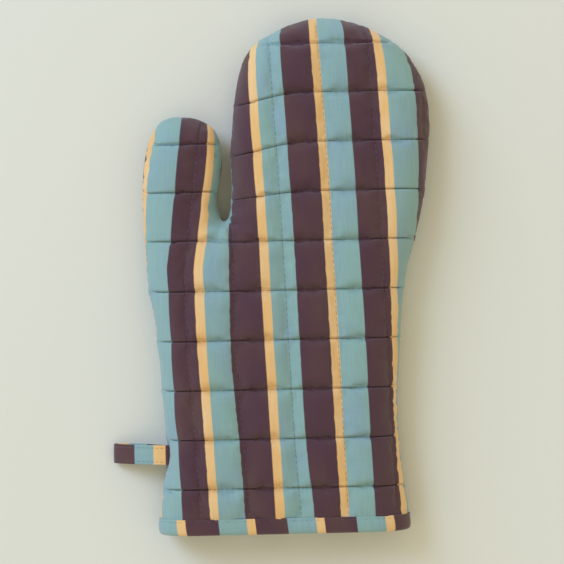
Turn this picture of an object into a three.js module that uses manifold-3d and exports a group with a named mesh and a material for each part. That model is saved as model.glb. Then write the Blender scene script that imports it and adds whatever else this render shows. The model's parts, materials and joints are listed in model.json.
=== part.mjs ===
// A quilted oven mitt that lies on its back: outer fabric, wadding and lining on both sides, quilting
// and seam threads, a bound cuff and a hanging loop sewn into the side seam.
//
// Millimetres, +Z up, fingertips towards +Y, thumb towards -X. The shapes are drawn with the middle of
// the cuff at the origin, and the whole mitt is then moved so that the origin is the middle of its
// underside.
//
// The mitt bends in two places, so each panel is made in three zones: palm, fingers and thumb. A zone
// ends at a drum, a cylinder round the bending axis, so that two zones meet face to face and turn past
// each other freely.

import * as THREE from 'three';
import { mergeVertices } from 'three/addons/utils/BufferGeometryUtils.js';
import Module from 'manifold-3d';

const wasm = await Module();
wasm.setup();

const GAP = 0.3;                  // clearance between pieces that touch
const WELD = 1e-4;                // vertices closer than this are one

// Panels
const SEAM_HEIGHT = 15;           // side seam above the table
const FRONT_RISE = 20;            // seam to the top of the front panel
const BACK_RISE = SEAM_HEIGHT;    // seam to the table
const EDGE_ROUND = 15;            // from the outline to where a panel is level
const EDGE_BANDS = 3;             // facets round a panel's edge
const CUFF_HALF_WIDTH = 79.3;
const CUFF_START = 1.6;           // raw edge of the panels, inside the fold of the binding
const CUFF_STRAIGHT = 12;         // the sides run straight up to here, under the binding
const CUFF_ROWS = 2;              // outline points at each end that lie on the straight cuff

// Layers, as depths below the outside of the panel. rimGap is the height of a layer's rim above the
// seam plane.
const LAYERS = {
  outer: { from: 0, to: 0.8, rimGap: 0.15 },
  wadding: { from: 1.2, to: 5.0, rimGap: 1.0 },
  quilting: { from: 5.3, to: 5.8, rimGap: 1.0 },
  lining: { from: 6.1, to: 6.9, rimGap: 0.15 },
};

// The outline above the cuff, from its left side round the thumb, the crotch and the fingers
const OUTLINE = [
  [-75.6, 65], [-79, 125], [-85, 170], [-85.4, 232], [-75.5, 261.5], [-57, 266.3], [-40, 258],
  [-35.2, 238], [-39, 211], [-34, 199.6], [-29.5, 212], [-28.5, 255], [-20, 301], [3, 321], [33, 327.5],
  [64, 319], [88, 299], [98, 267], [93, 210], [80.5, 160], [75.6, 110], [74, 65],
];
const STEPS_PER_POINT = 2;

// Quilting: straight lines of stitches, square to each other
const QUILT_PITCH = 31.3;
const QUILT_FIRST_ROW = 29.3;
const QUILT_ROWS = 10;
const QUILT_FIRST_COLUMN = -53.1;
const QUILT_COLUMN_TOPS = [300, 185, 400, 400, 400];
const QUILT_LEAN = 2 * Math.PI / 180;   // the columns lean towards the thumb
const QUILT_WIDTH = 0.8;
const SLOT_X = -33.5;             // middle of the slot between thumb and fingers
const THUMB_ROW = 7;              // the one row whose stitches cross the moving part of the thumb
const LAST_PALM_ROW_AT_THUMB = 5;

// Bending axes, at half the height of the mitt
const AXIS_HEIGHT = (SEAM_HEIGHT + FRONT_RISE) / 2;
const FINGER_FOLD_Y = 236;
const FINGER_DRUM = 25;
const THUMB_FOLD = new THREE.Vector2(-41, 216.5);
const THUMB_FOLD_TILT = 22 * Math.PI / 180;
const THUMB_DRUM = 21;
const DRUM_SIDES = 48;
const FAR = 400;                  // longer than the mitt

// Side seam thread
const SEAM_THREAD = { from: 1.7, to: 2.9, height: 1.2 };

// Cuff binding: a folded band over the raw edges
const BINDING = { depth: 10.5, thickness: 1.0 };
const BINDING_STITCH = { y: 8.4, width: 0.6, thickness: 0.4 };
const CUFF_PINCH = 2 * GAP + BINDING.thickness + BINDING_STITCH.thickness;  // thinner by this each side

// Hanging loop: a folded tape that droops from the side seam to the table
const LOOP = { width: 12.5, x: -78.9, y: 50.8, turn: -3.5 * Math.PI / 180 };
const LOOP_OUTSIDE = [
  [-1.2, -0.8], [-1.5, 0], [-1.2, 0.8], [0, 1.6], [11, 0.6], [20, -2.2], [26, -5.4], [29.3, -8.6],
  [30.5, -11.6], [29.4, -13.8], [26.6, -14.6], [20, -14.3], [13, -11.6], [6.5, -6.4], [0, -1.6],
];
const LOOP_SLOT = [
  [4.6, -2.4], [11, -0.8], [19.5, -3.5], [25.1, -6.6], [28.3, -9.5], [29.1, -11.7], [28.4, -12.9],
  [26.4, -13.4], [20.3, -13.1], [13.6, -10.6],
];

const COLOURS = {
  outer: 0x83a3a3, wadding: 0xe9e6dc, lining: 0xd8d2c2, quilting: 0x8f8388, seam: 0x6f6a6c,
  binding: 0x583e46, loop: 0xe0b46e,
};
const FABRIC_ROUGHNESS = 0.95;

// ---- solids ----

function solidFromGeometry(geometry) {
  const bare = new THREE.BufferGeometry();
  bare.setAttribute('position', geometry.getAttribute('position'));
  bare.setIndex(geometry.getIndex());
  const welded = mergeVertices(bare, WELD);
  return new wasm.Manifold(new wasm.Mesh({
    numProp: 3,
    vertProperties: new Float32Array(welded.getAttribute('position').array),
    triVerts: new Uint32Array(welded.getIndex().array),
  }));
}

function geometryFromSolid(solid) {
  const mesh = solid.getMesh();
  const geometry = new THREE.BufferGeometry();
  geometry.setAttribute('position', new THREE.BufferAttribute(mesh.vertProperties, 3));
  geometry.setIndex(new THREE.BufferAttribute(mesh.triVerts, 1));
  return geometry;
}

function namedMesh(name, geometry, colour) {
  const material = new THREE.MeshStandardMaterial({
    color: colour,
    roughness: FABRIC_ROUGHNESS,
    metalness: 0,
  });
  const mesh = new THREE.Mesh(geometry, material);
  mesh.name = name;
  return mesh;
}

// A box between two corners
function block(low, high) {
  const size = new THREE.Vector3(...high).sub(new THREE.Vector3(...low));
  const geometry = new THREE.BoxGeometry(size.x, size.y, size.z);
  geometry.translate(low[0] + size.x / 2, low[1] + size.y / 2, low[2] + size.z / 2);
  return solidFromGeometry(geometry);
}

function unionOf(solids) {
  return solids.reduce((sum, next) => sum.add(next));
}

// ---- outline ----

// The mitt's outline as points from the left end of the cuff to its right end
function outlinePoints() {
  const drawn = OUTLINE.map(([x, y]) => new THREE.Vector2(x, y));
  drawn.unshift(new THREE.Vector2(-CUFF_HALF_WIDTH, CUFF_STRAIGHT));
  drawn.push(new THREE.Vector2(CUFF_HALF_WIDTH, CUFF_STRAIGHT));
  const points = new THREE.SplineCurve(drawn).getPoints(STEPS_PER_POINT * (drawn.length - 1));
  points.unshift(new THREE.Vector2(-CUFF_HALF_WIDTH, CUFF_START));
  points.push(new THREE.Vector2(CUFF_HALF_WIDTH, CUFF_START));
  return points;
}

// For each outline point, the way that moves it inwards by one millimetre of inset
function inwardWays(points) {
  const normals = points.slice(1).map((point, i) => {
    const along = point.clone().sub(points[i]).normalize();
    return new THREE.Vector2(along.y, -along.x);
  });
  return points.map((_, i) => {
    const before = normals[Math.max(i - 1, 0)];
    const after = normals[Math.min(i, normals.length - 1)];
    const middle = before.clone().add(after).normalize();
    return middle.divideScalar(middle.dot(before));
  });
}

const outline = outlinePoints();
const inward = inwardWays(outline);

function insetOutline(inset) {
  return outline.map((point, i) => point.clone().addScaledVector(inward[i], inset));
}

// ---- panels ----

// How far the panel on one side stands off the seam plane: less at the cuff, where it is bound
function riseAt(side, i) {
  const full = side > 0 ? FRONT_RISE : BACK_RISE;
  const atCuff = i < CUFF_ROWS || i >= outline.length - CUFF_ROWS;
  return atCuff ? full - CUFF_PINCH : full;
}

// One surface of a panel at a depth below its outside: rings from the seam to the level middle
function panelSurface(side, depth, rimGap) {
  const rings = [];
  for (let band = 0; band <= EDGE_BANDS; band += 1) {
    const angle = band / EDGE_BANDS * Math.PI / 2;
    const inset = EDGE_ROUND - (EDGE_ROUND - depth) * Math.cos(angle);
    insetOutline(inset).forEach((point, i) => {
      const height = Math.max(rimGap, (riseAt(side, i) - depth) * Math.sin(angle));
      rings.push(new THREE.Vector3(point.x, point.y, SEAM_HEIGHT + side * height));
    });
  }
  return rings;
}

// The triangles of a panel surface, counter-clockwise seen from above
function panelTriangles() {
  const count = outline.length;
  const triangles = [];
  for (let band = 0; band < EDGE_BANDS; band += 1) {
    for (let i = 0; i < count - 1; i += 1) {
      const a = band * count + i;
      triangles.push([a, a + count, a + 1], [a + 1, a + count, a + count + 1]);
    }
  }
  const level = EDGE_BANDS * count;
  const end = level + count - 1;
  for (let row = 0; row < CUFF_ROWS; row += 1) {
    triangles.push([level + row, end - row, level + row + 1], [end - row, end - row - 1, level + row + 1]);
  }
  const middle = insetOutline(EDGE_ROUND).slice(CUFF_ROWS, count - CUFF_ROWS);
  const first = level + CUFF_ROWS;
  THREE.ShapeUtils.triangulateShape(middle, []).forEach(([a, b, c]) => {
    const flip = THREE.ShapeUtils.area([middle[a], middle[b], middle[c]]) < 0;
    triangles.push(flip ? [first + a, first + c, first + b] : [first + a, first + b, first + c]);
  });
  return triangles;
}

// The free edge of a panel surface, in order: along the seam, then up, across and down the cuff
function panelRim() {
  const count = outline.length;
  const rim = [];
  for (let i = 0; i < count; i += 1) {
    rim.push(i);
  }
  for (let band = 1; band <= EDGE_BANDS; band += 1) {
    rim.push(band * count + count - 1);
  }
  for (let band = EDGE_BANDS; band >= 1; band -= 1) {
    rim.push(band * count);
  }
  return rim;
}

// A sheet with a thickness, closed along its rim
function thickSheet(upper, lower) {
  const vertices = [...upper, ...lower];
  const shift = upper.length;
  const rim = panelRim();
  const index = [];
  panelTriangles().forEach(([a, b, c]) => {
    index.push(a, b, c, a + shift, c + shift, b + shift);
  });
  rim.forEach((a, i) => {
    const b = rim[(i + 1) % rim.length];
    index.push(a, b, a + shift, b, b + shift, a + shift);
  });
  const geometry = new THREE.BufferGeometry().setFromPoints(vertices);
  geometry.setIndex(index);
  return solidFromGeometry(geometry);
}

function panelLayer(side, layer) {
  const outside = panelSurface(side, layer.from, layer.rimGap);
  const inside = panelSurface(side, layer.to, layer.rimGap);
  return side > 0 ? thickSheet(outside, inside) : thickSheet(inside, outside);
}

// ---- zones ----

// A drum of the given radius round a bending axis through a point, turned from the X direction
function drum(radius, x, y, turn) {
  const geometry = new THREE.CylinderGeometry(radius, radius, 2 * FAR, DRUM_SIDES);
  geometry.rotateZ(Math.PI / 2 + turn);
  geometry.translate(x, y, AXIS_HEIGHT);
  return solidFromGeometry(geometry);
}

// The space that turns with the fingers
function fingerSpace(radius) {
  const beyond = block([SLOT_X, FINGER_FOLD_Y, -FAR], [FAR, FAR, FAR]);
  return beyond.subtract(drum(radius, 0, FINGER_FOLD_Y, 0));
}

// The space that turns with the thumb
function thumbSpace(radius) {
  const geometry = new THREE.BoxGeometry(2 * FAR, FAR, 2 * FAR);
  geometry.translate(0, FAR / 2, 0);
  geometry.rotateZ(THUMB_FOLD_TILT);
  geometry.translate(THUMB_FOLD.x, THUMB_FOLD.y, 0);
  const beyond = solidFromGeometry(geometry).intersect(block([-FAR, 0, -FAR], [SLOT_X, FAR, FAR]));
  return beyond.subtract(drum(radius, THUMB_FOLD.x, THUMB_FOLD.y, THUMB_FOLD_TILT));
}

const zones = {
  palm: (solid) => solid.subtract(fingerSpace(FINGER_DRUM - GAP)).subtract(thumbSpace(THUMB_DRUM - GAP)),
  fingers: (solid) => solid.intersect(fingerSpace(FINGER_DRUM)),
  thumb: (solid) => solid.intersect(thumbSpace(THUMB_DRUM)),
};

// ---- quilting ----

function quiltRow(row, fromX, toX) {
  const y = QUILT_FIRST_ROW + row * QUILT_PITCH;
  return block([fromX, y - QUILT_WIDTH / 2, -FAR], [toX, y + QUILT_WIDTH / 2, FAR]);
}

function quiltColumn(top, column) {
  const geometry = new THREE.BoxGeometry(QUILT_WIDTH, FAR, 2 * FAR);
  geometry.translate(0, FAR / 2, 0);
  geometry.rotateZ(QUILT_LEAN);
  geometry.translate(QUILT_FIRST_COLUMN + column * QUILT_PITCH, 0, 0);
  return solidFromGeometry(geometry).intersect(block([-FAR, 0, -FAR], [FAR, top, FAR]));
}

// The lines of one zone, as thin upright walls
function quiltWalls(zone) {
  const walls = QUILT_COLUMN_TOPS.map(quiltColumn);
  for (let row = 0; row < QUILT_ROWS; row += 1) {
    const wholeWidth = zone === 'palm' && row <= LAST_PALM_ROW_AT_THUMB;
    walls.push(quiltRow(row, wholeWidth ? -FAR : SLOT_X, FAR));
  }
  return zone === 'thumb' ? [walls[0], quiltRow(THUMB_ROW, -FAR, SLOT_X)] : walls;
}

// ---- side seam ----

// The thread lies in the seam plane, just inside the outer fabric
function seamThread() {
  const band = new THREE.Shape([
    ...insetOutline(SEAM_THREAD.from),
    ...insetOutline(SEAM_THREAD.to).reverse(),
  ]);
  const geometry = new THREE.ExtrudeGeometry(band, { depth: SEAM_THREAD.height, bevelEnabled: false });
  geometry.deleteAttribute('normal');
  geometry.deleteAttribute('uv');
  geometry.translate(0, 0, SEAM_HEIGHT - SEAM_THREAD.height / 2);
  return solidFromGeometry(mergeVertices(geometry, WELD));
}

// The stretches of thread that stay with the palm, from the left side to the right
function palmSeamStretches() {
  const middleX = (solid) => {
    const { min, max } = solid.boundingBox();
    return (min[0] + max[0]) / 2;
  };
  return zones.palm(seamThread()).decompose().sort((a, b) => middleX(a) - middleX(b));
}

// ---- cuff ----

// The outline of the cuff's end, seen along the mitt, at a distance outside the outer fabric
function cuffSection(outside) {
  const halfLevel = CUFF_HALF_WIDTH - EDGE_ROUND;
  const points = [];
  for (let quarter = 0; quarter < 4; quarter += 1) {
    const rise = (quarter < 2 ? FRONT_RISE : BACK_RISE) - CUFF_PINCH;
    const centreX = quarter === 0 || quarter === 3 ? halfLevel : -halfLevel;
    for (let band = 0; band <= EDGE_BANDS; band += 1) {
      const angle = (quarter + band / EDGE_BANDS) * Math.PI / 2;
      const x = centreX + (EDGE_ROUND + outside) * Math.cos(angle);
      points.push(new THREE.Vector2(x, SEAM_HEIGHT + (rise + outside) * Math.sin(angle)));
    }
  }
  return points;
}

// A band round the cuff, between two distances outside the outer fabric and two stations along Y
function cuffBand(outer, inner, fromY, toY) {
  const ring = new THREE.Shape(cuffSection(outer));
  ring.holes.push(new THREE.Path(cuffSection(inner)));
  const geometry = new THREE.ExtrudeGeometry(ring, { depth: toY - fromY, bevelEnabled: false });
  geometry.deleteAttribute('normal');
  geometry.deleteAttribute('uv');
  geometry.rotateX(Math.PI / 2);
  geometry.translate(0, toY, 0);
  return solidFromGeometry(mergeVertices(geometry, WELD));
}

function cuffBinding() {
  const outer = GAP + BINDING.thickness;
  const inner = -LAYERS.lining.to - GAP;
  return unionOf([
    cuffBand(outer, GAP, 0, BINDING.depth),
    cuffBand(inner, inner - BINDING.thickness, 0, BINDING.depth),
    cuffBand(outer, inner - BINDING.thickness, 0, BINDING.thickness),
  ]);
}

function cuffStitching() {
  const outside = 2 * GAP + BINDING.thickness;
  const { y, width, thickness } = BINDING_STITCH;
  return cuffBand(outside + thickness, outside, y, y + width);
}

// ---- hanging loop ----

function hangingLoop() {
  const tape = new THREE.Shape(LOOP_OUTSIDE.map(([x, z]) => new THREE.Vector2(-x, z)));
  tape.holes.push(new THREE.Path(LOOP_SLOT.map(([x, z]) => new THREE.Vector2(-x, z))));
  const geometry = new THREE.ExtrudeGeometry(tape, { depth: LOOP.width, bevelEnabled: false });
  geometry.translate(0, 0, -LOOP.width / 2);
  geometry.rotateX(Math.PI / 2);
  const loop = namedMesh('hanging_loop', geometry, COLOURS.loop);
  loop.position.set(LOOP.x, LOOP.y, SEAM_HEIGHT);
  loop.rotation.z = LOOP.turn;
  return loop;
}

// ---- assembly ----

function panel(sideName, side) {
  const group = new THREE.Group();
  ['outer', 'wadding', 'lining'].forEach((layerName) => {
    const solid = panelLayer(side, LAYERS[layerName]);
    Object.entries(zones).forEach(([zone, cut]) => {
      const name = `${layerName}_${sideName}_${zone}`;
      group.add(namedMesh(name, geometryFromSolid(cut(solid)), COLOURS[layerName]));
    });
  });
  const sheet = panelLayer(side, LAYERS.quilting);
  Object.entries(zones).forEach(([zone, cut]) => {
    const net = cut(sheet).intersect(unionOf(quiltWalls(zone)));
    group.add(namedMesh(`quilting_${sideName}_${zone}`, geometryFromSolid(net), COLOURS.quilting));
  });
  return group;
}

function sideSeam() {
  const group = new THREE.Group();
  const [left, crotch, right] = palmSeamStretches();
  const thread = seamThread();
  const stretches = { left, crotch, right, fingers: zones.fingers(thread), thumb: zones.thumb(thread) };
  Object.entries(stretches).forEach(([place, solid]) => {
    group.add(namedMesh(`seam_thread_${place}`, geometryFromSolid(solid), COLOURS.seam));
  });
  return group;
}

function cuff() {
  const group = new THREE.Group();
  group.add(namedMesh('cuff_binding', geometryFromSolid(cuffBinding()), COLOURS.binding));
  group.add(namedMesh('cuff_binding_stitching', geometryFromSolid(cuffStitching()), COLOURS.quilting));
  return group;
}

function ovenMitt() {
  const mitt = new THREE.Group();
  mitt.add(panel('front', 1), panel('back', -1), sideSeam(), cuff(), hangingLoop());
  const box = new THREE.Box3().setFromObject(mitt);
  const centre = box.getCenter(new THREE.Vector3());
  mitt.position.set(-centre.x, -centre.y, -box.min.z);
  return mitt;
}

export default ovenMitt();
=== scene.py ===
"""The looks of a quilted, striped oven mitt that lies on its back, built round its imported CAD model.

Shapes are drawn in millimetres on a drawing frame whose origin is the middle of the cuff's edge, with
+X from the thumb to the fingers and +Y to the fingertips, and are placed in the part's frame in metres.
The cloth has coordinates of its own: u runs across the stripes and v along them.
"""

import json
import math

import bmesh
import bpy
import numpy as np
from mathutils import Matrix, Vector, noise
from mathutils.geometry import delaunay_2d_cdt


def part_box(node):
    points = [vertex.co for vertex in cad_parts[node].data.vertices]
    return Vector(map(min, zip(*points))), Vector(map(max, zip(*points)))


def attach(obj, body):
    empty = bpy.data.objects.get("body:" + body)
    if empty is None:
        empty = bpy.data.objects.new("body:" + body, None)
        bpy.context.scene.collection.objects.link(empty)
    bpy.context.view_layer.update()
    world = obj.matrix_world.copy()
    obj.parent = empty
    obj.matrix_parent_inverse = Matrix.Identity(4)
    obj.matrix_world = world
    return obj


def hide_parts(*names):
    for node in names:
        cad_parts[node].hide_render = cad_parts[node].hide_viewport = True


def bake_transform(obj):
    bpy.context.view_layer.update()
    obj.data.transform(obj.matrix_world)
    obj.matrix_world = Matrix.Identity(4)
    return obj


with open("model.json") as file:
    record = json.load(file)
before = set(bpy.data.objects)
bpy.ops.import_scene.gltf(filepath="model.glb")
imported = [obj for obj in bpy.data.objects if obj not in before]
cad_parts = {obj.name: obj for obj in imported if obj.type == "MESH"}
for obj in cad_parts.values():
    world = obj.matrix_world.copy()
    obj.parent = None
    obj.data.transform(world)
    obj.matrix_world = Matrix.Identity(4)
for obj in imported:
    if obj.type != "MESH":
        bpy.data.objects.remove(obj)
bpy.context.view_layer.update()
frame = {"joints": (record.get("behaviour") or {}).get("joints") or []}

MM = 0.001
cuff_low, cuff_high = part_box("cuff_binding")
CUFF_MIDDLE = np.array([(cuff_low.x + cuff_high.x) / 2, cuff_low.y, 0.0])

# Cut of the mitt: its outline above the cuff, from the left of the cuff round thumb and fingers
CUFF_HALF_WIDTH = 79.3
CUFF_START = 1.6
CUFF_STRAIGHT = 12
OUTLINE = [
    (-75.6, 65), (-79, 125), (-85, 170), (-85.4, 232), (-75.5, 261.5), (-57, 266.3), (-40, 258),
    (-35.2, 238), (-39, 211), (-34, 199.6), (-29.5, 212), (-28.5, 255), (-20, 301), (3, 321), (33, 327.5),
    (64, 319), (88, 299), (98, 267), (93, 210), (80.5, 160), (75.6, 110), (74, 65),
]
CROTCH = np.array([-34.0, 199.6])

# Build of a panel
SEAM_HEIGHT = 15.0
EDGE_ROUND = 24.0  # from the outline to where a panel is nearly level
PALM_RISE = 19.0  # seam to the top of the front panel
TIP_RISE = 16.0
THUMB_RISE = 13.0
BACK_RISE = 13.6
CUFF_DROP = (2.0, 0.2)  # front and back are this much lower at the cuff
CLOTH = 0.7  # thickness of the outer fabric and of the lining
WADDING = (1.3, 5.4)  # depths below the outside of the panel
LINING = 6.2
CUFF_SQUEEZE = 0.45  # share of the layers' depth that the binding takes away
BOUND = 9.5  # the cloth is held flat under the binding up to here
FOLD = 1.0  # the cloth turns in at the seam with this radius
ALLOWANCE = 5.5  # and the seam allowance runs this far in
# Insets of the turned-in cloth from the seam, and its heights off the seam plane
TURNED_IN = ((0.26, 0.36), (0.95, 0.1), (3.0, 0.1), (ALLOWANCE, 0.1))
TABLE = 0.05  # height of the lowest cloth

# Where the hanging loop is sewn into the left side seam
LOOP_Y = 50.8
LOOP_WIDTH = 12.5
LOOP_TURN = math.radians(-1.0)
LOOP_OPENING = 1.3  # half the gap that its two ends need in the seam
LOOP_PULL = (3.9, 4.0)  # how far in and up it pulls the seam

# Quilting
PITCH = 31.3
FIRST_ROW = 29.3
FIRST_COLUMN = 9.5
CELLS = 16  # mesh cells across one quilted square
ROW_GROOVE = 2.3  # how deep the stitches pull the cloth in
COLUMN_GROOVE = 0.8
CROWDING = 0.55  # share by which the mesh is finer beside the stitches

# How the cloth lies
LEAN = 0.037  # stripes lean towards the thumb
THUMB_BEND = 0.155  # and away from it along the thumb, above THUMB_BEND_FROM
THUMB_BEND_FROM = 169.0
FINGER_CURL = 0.00013  # and further towards it in the fingers, above FINGERS_FROM
FINGERS_FROM = 200.0
THUMB_EDGE = (-40.0, -24.0)  # u between which the cloth turns from thumb to fingers
SWAYS = [  # and sways sideways here and there: u, v, reach along both, shift
    (-25, 115, 12, 55, -3.0), (-49, 125, 10, 50, -2.0), (18, 12, 12, 30, 2.4), (-64, 20, 10, 40, 1.6),
    (-66, 190, 9, 60, 1.4), (-82, 235, 8, 40, -1.8), (98, 265, 8, 60, 1.6),
    (-23, 242, 7, 34, -4.0), (-84, 100, 12, 100, -3.6),
]
DIP = 8.5  # rows dip at the fingers' left edge
THUMB_LIFT = 1.2  # and stand higher on the thumb
THUMB_GATHER = 0.02  # where they are closer together

SPLIT_BELOW = 24.0  # the thumb's cloth starts this far below its bending axis
PUCKER = 0.38  # height of the gathers beside the stitches
PUCKER_SIZE = 4.2
CREASE = 0.75
SOFT_REST = 0.3  # how softly the back flattens where it rests on the table


def unit(vectors):
    return vectors / np.linalg.norm(vectors, axis=-1, keepdims=True)


def smooth(low, high, value):
    t = np.clip((value - low) / (high - low), 0, 1)
    return t * t * (3 - 2 * t)


def joint(name):
    return next(j for j in frame["joints"] if j["name"] == name)


def drawn(point):
    """A point of the part's frame in the drawing frame."""
    return (np.array(point) - CUFF_MIDDLE) / MM


def placed(points):
    """Points of the drawing frame in the part's frame."""
    return np.asarray(points, float) * MM + CUFF_MIDDLE


THUMB_AXIS = drawn(joint("thumb_fold")["pos_m"])[:2]
thumb_along = np.array(joint("thumb_fold")["axis"][:2])
THUMB_WAY = np.array([-thumb_along[1], thumb_along[0]])


# ---- the cloth's own coordinates ----

def cloth_shift(u, v):
    """How far the point (u, v) of the cloth lies from (u, v) on the drawing."""
    thumb = 1 - smooth(*THUMB_EDGE, u)
    bend = THUMB_BEND * np.maximum(0, v - THUMB_BEND_FROM) * thumb
    curl = FINGER_CURL * np.maximum(0, v - FINGERS_FROM) ** 2 * (1 - thumb)
    at_left = 1 - smooth(-26, 30, u)
    dip = DIP * at_left * smooth(192, 240, v) * (1 - smooth(284, 306, v)) * (1 - thumb)
    lift = (THUMB_LIFT * smooth(140, 180, v) - THUMB_GATHER * np.maximum(0, v - 200)) * thumb
    sway = sum(shift * np.exp(-((u - at_u) / reach_u) ** 2 - ((v - at_v) / reach_v) ** 2)
               for at_u, at_v, reach_u, reach_v, shift in SWAYS)
    return bend - curl - LEAN * v + sway, lift - dip


def grid_place(index, cells):
    """Where the grid line of that index is, with the lines closer together beside the stitches."""
    turn = 2 * math.pi * index / cells
    return PITCH * (index / cells - CROWDING * np.sin(turn) / (2 * math.pi))


def cloth_to_drawing(u, v):
    dx, dy = cloth_shift(u, v)
    return u + dx, v + dy


def drawing_to_cloth(x, y):
    """The inverse, by repeated correction from a start on the right side of the slot."""
    on_thumb = (x < CROTCH[0]) & (y > CROTCH[1])
    u = np.where(on_thumb, THUMB_EDGE[0] - 5, np.maximum(x + LEAN * y, THUMB_EDGE[1]))
    u = np.where(y > CROTCH[1], u, x + LEAN * y)
    v = np.array(y, float)
    for _ in range(40):
        dx, dy = cloth_shift(u, v)
        u, v = 0.5 * u + 0.5 * (x - dx), 0.5 * v + 0.5 * (y - dy)
    return u, v


# ---- outline and the shape of a panel ----

def spline(points, step):
    """Points about step apart on a smooth curve through the given ones."""
    p = np.array(points, float)
    p = np.vstack([2 * p[0] - p[1], p, 2 * p[-1] - p[-2]])
    out = []
    for a, b, c, d in zip(p[:-3], p[1:-2], p[2:-1], p[3:]):
        count = max(2, int(round(np.linalg.norm(c - b) / step)))
        t = (np.arange(count) / count)[:, None]
        out.append(0.5 * (2 * b + (c - a) * t + (2 * a - 5 * b + 4 * c - d) * t ** 2
                          + (3 * b - a - 3 * c + d) * t ** 3))
    return np.vstack(out + [p[-2][None]])


def outline_curve(step):
    corners = [(-CUFF_HALF_WIDTH, CUFF_STRAIGHT), *OUTLINE, (CUFF_HALF_WIDTH, CUFF_STRAIGHT)]
    curve = spline(corners, step)
    rise = np.arange(CUFF_START, CUFF_STRAIGHT, step)[:, None]
    left = np.hstack([np.full_like(rise, -CUFF_HALF_WIDTH), rise])
    right = np.hstack([np.full_like(rise, CUFF_HALF_WIDTH), rise])[::-1]
    return np.vstack([left, curve, right])


def inward_of(curve):
    """The way square to a curve, on its right, at each of its points."""
    slope = np.gradient(curve, axis=0)
    return unit(np.column_stack([slope[:, 1], -slope[:, 0]]))


EDGE = outline_curve(1.0)


def from_edge(xy):
    """Distance of each point from the seam, and the way inwards from the seam there."""
    a, b = EDGE[:-1], EDGE[1:]
    along = b - a
    length2 = (along ** 2).sum(1)
    inward = np.stack([along[:, 1], -along[:, 0]], 1) / np.sqrt(length2)[:, None]
    distance, way = np.empty(len(xy)), np.empty((len(xy), 2))
    for i, p in enumerate(xy):
        t = np.clip(((p - a) * along).sum(1) / length2, 0, 1)
        gap = p - (a + along * t[:, None])
        reach = (gap ** 2).sum(1)
        k = int(np.argmin(reach))
        distance[i] = math.sqrt(reach[k])
        way[i] = gap[k] / distance[i] if distance[i] > 0.3 else inward[k]
    return distance, way


def rise_at(side, xy):
    """Height of the panel's middle over the seam plane."""
    x, y = xy[:, 0], xy[:, 1]
    cuff = 1 - smooth(0, 40, y)
    if side < 0:
        return BACK_RISE - CUFF_DROP[1] * cuff
    thumb = smooth(-60, 25, (xy - CROTCH) @ THUMB_WAY) * (1 - smooth(-60, -22, x))
    palm = PALM_RISE - (PALM_RISE - TIP_RISE) * smooth(200, 320, y) - CUFF_DROP[0] * cuff
    return palm * (1 - thumb) + THUMB_RISE * thumb


def loop_pull(side, xy, distance):
    """How the hanging loop pulls the seam inwards and up, and the cloth beside it."""
    near = np.exp(-((xy[:, 1] - LOOP_Y) / 15) ** 2) * (xy[:, 0] < 0)
    inward = near * np.exp(-(distance / (6.0 if side > 0 else 0.35)) ** 2)
    upward = near * np.exp(-distance / 1.8)
    return np.column_stack([LOOP_PULL[0] * inward, np.zeros(len(xy)), LOOP_PULL[1] * upward])


def loop_opening(xy):
    """Half the gap in the seam, which only the loop's ends open."""
    half = LOOP_WIDTH / 2
    beside = 1 - smooth(half, half + 5, np.abs(xy[:, 1] - LOOP_Y))
    return LOOP_OPENING * beside * (xy[:, 0] < 0)


def squeezed(depth, y):
    """The depth of a layer, less at the cuff."""
    return depth * (1 - CUFF_SQUEEZE * (1 - smooth(8, 34, y)))


def panel_points(side, xy, distance, way, depth, gap=0.0):
    """The panel's surface at a depth below its outside, and never nearer the seam plane than gap."""
    lean = np.clip(1 - distance / EDGE_ROUND, 0, 1)
    flat = xy + way * (lean * depth)[:, None]
    height = np.maximum((rise_at(side, xy) - depth) * np.sqrt(1 - lean ** 2), gap)
    return np.column_stack([flat, SEAM_HEIGHT + side * height]) + loop_pull(side, xy, distance)


# ---- flat pattern ----

EDGE_RINGS = (0.0, 0.3, 1.0)  # insets of the rings of vertices beside the seam
OFF_GRID = 9999


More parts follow.
